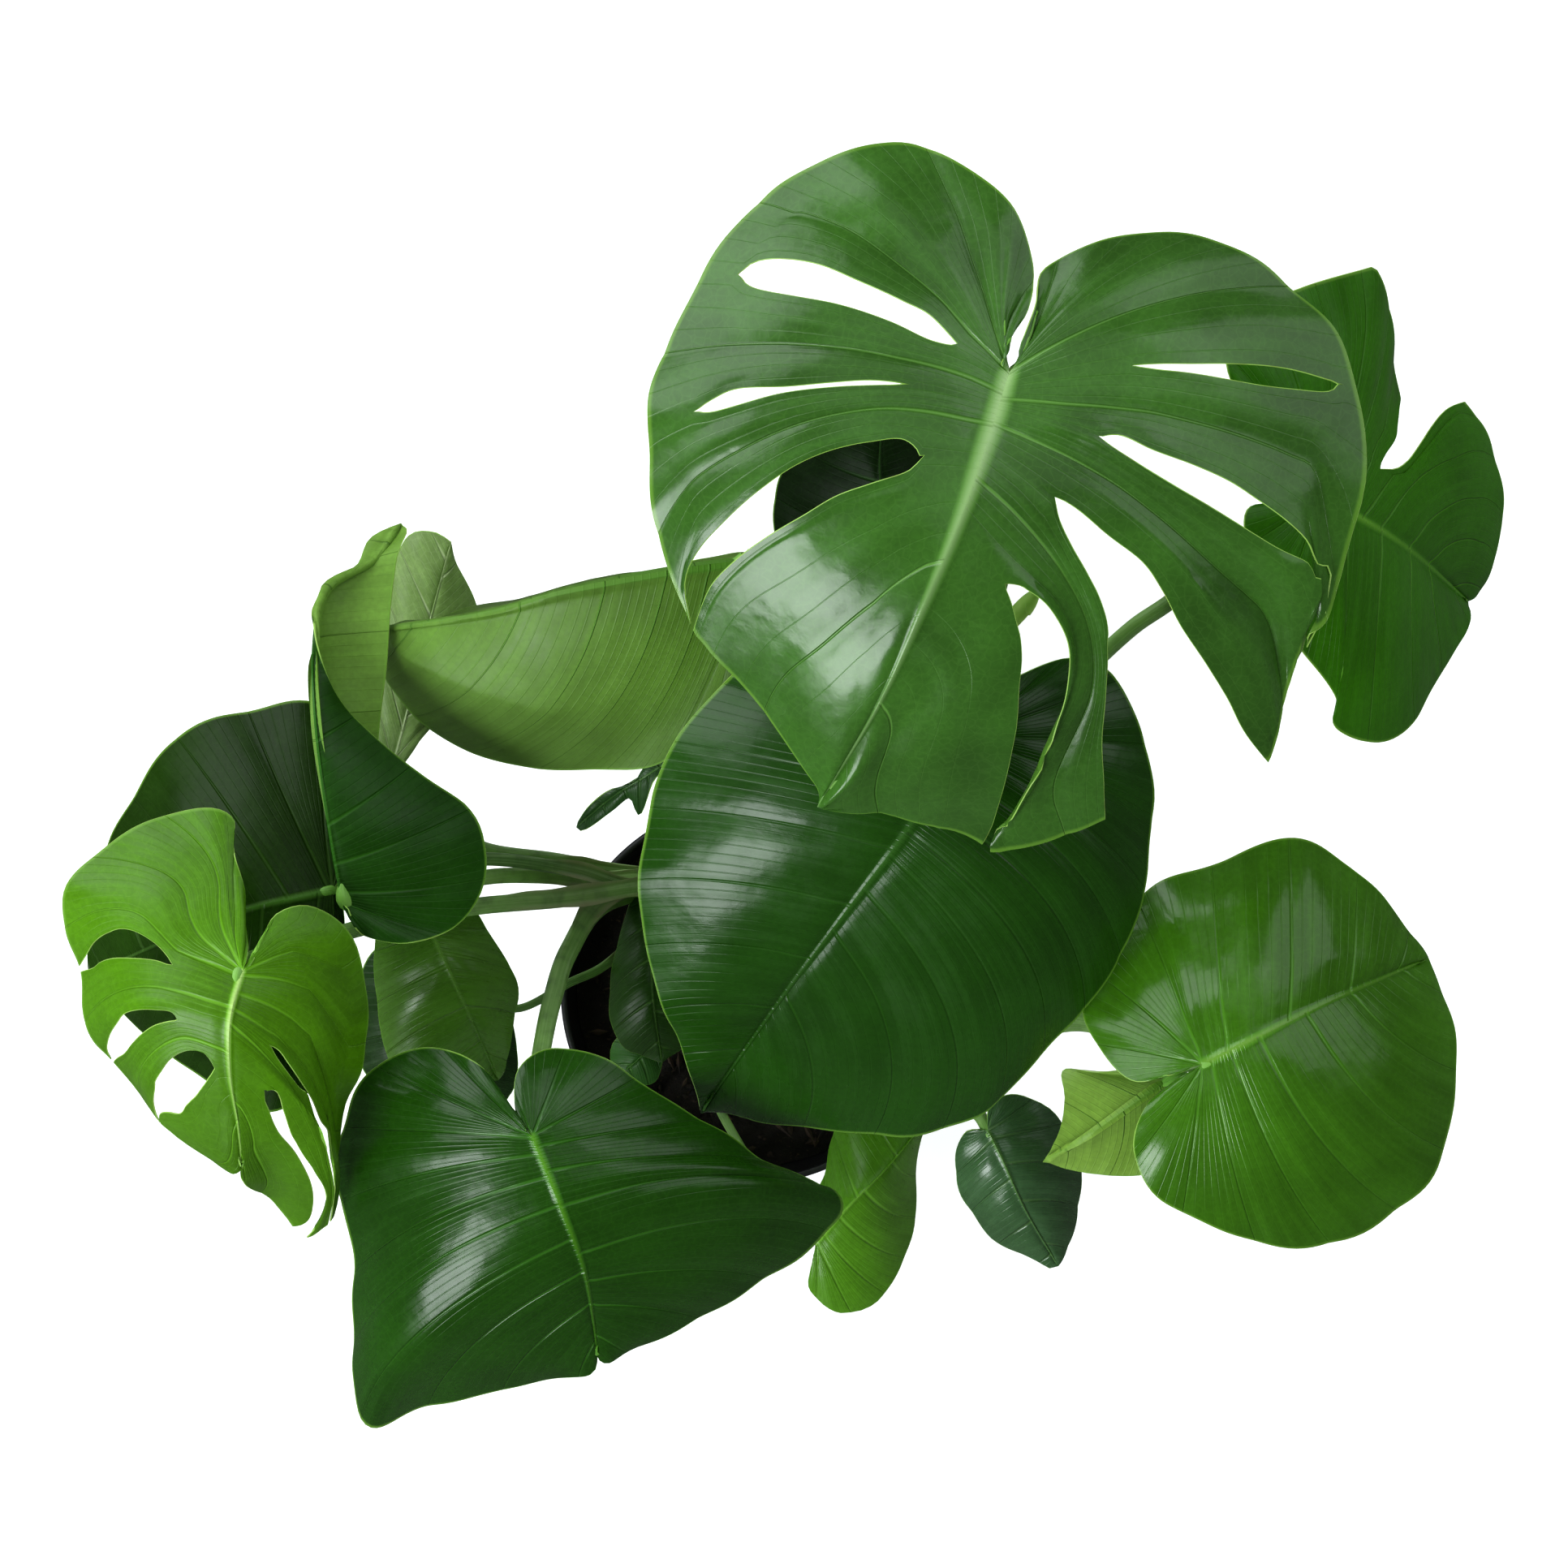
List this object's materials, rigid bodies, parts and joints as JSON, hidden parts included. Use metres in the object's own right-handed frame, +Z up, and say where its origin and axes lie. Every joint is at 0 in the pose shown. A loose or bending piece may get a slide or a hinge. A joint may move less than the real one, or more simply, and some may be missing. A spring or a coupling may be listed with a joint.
{
  "type": "potted monstera plant",
  "caption": "House plant with large leathery leaves, some cut from the margin, on long stalks in a plain round black nursery pot with soil.",
  "frame": {"origin": "on the floor under the middle of the pot", "axes": "+Z up; +X to the right and +Y to the top of the picture, which looks straight down"},
  "size_m": [0.6904, 0.5951, 0.6039],
  "materials": {
    "pot": "black, softly shining",
    "soil": "dark, crumbly",
    "stem": "green, dull",
    "petiole": "green, smooth",
    "spear": "light green, smooth",
    "blade_crown": "waxy green leaf",
    "blade_broad": "waxy green leaf",
    "blade_heart": "waxy green leaf",
    "blade_lime": "waxy green leaf",
    "blade_shade": "waxy green leaf",
    "blade_right": "waxy green leaf",
    "blade_steep": "waxy green leaf",
    "blade_flopped": "waxy green leaf",
    "blade_grey": "waxy green leaf",
    "blade_rolled": "waxy green leaf",
    "blade_low": "waxy green leaf",
    "blade_lowest": "waxy green leaf",
    "blade_under": "waxy green leaf",
    "blade_pale": "waxy green leaf",
    "blade_small": "waxy green leaf",
    "blade_bright": "waxy green leaf",
    "blade_folded": "waxy green leaf",
    "blade_sprout": "waxy green leaf",
    "blade_wavy": "waxy green leaf"
  },
  "bodies": {
    "root": {"pot": "pot", "soil": "soil", "stem_left": "stem", "stem_back": "stem", "stem_front": "stem", "blade_crown": "blade_crown", "blade_broad": "blade_broad", "blade_heart": "blade_heart", "blade_lime": "blade_lime", "blade_shade": "blade_shade", "blade_right": "blade_right", "blade_steep": "blade_steep", "blade_flopped": "blade_flopped", "blade_grey": "blade_grey", "blade_rolled": "blade_rolled", "blade_low": "blade_low", "blade_lowest": "blade_lowest", "blade_under": "blade_under", "blade_pale": "blade_pale", "blade_small": "blade_small", "blade_bright": "blade_bright", "blade_folded": "blade_folded", "blade_sprout": "blade_sprout", "blade_wavy": "blade_wavy", "petiole_crown": "petiole", "petiole_broad": "petiole", "petiole_heart": "petiole", "petiole_lime": "petiole", "petiole_shade": "petiole", "petiole_right": "petiole", "petiole_steep": "petiole", "petiole_flopped": "petiole", "petiole_grey": "petiole", "petiole_rolled": "petiole", "petiole_low": "petiole", "petiole_lowest": "petiole", "petiole_under": "petiole", "petiole_pale": "petiole", "petiole_small": "petiole", "petiole_bright": "petiole", "petiole_folded": "petiole", "petiole_sprout": "petiole", "petiole_wavy": "petiole", "spear": "spear"}
  },
  "joints": []
}
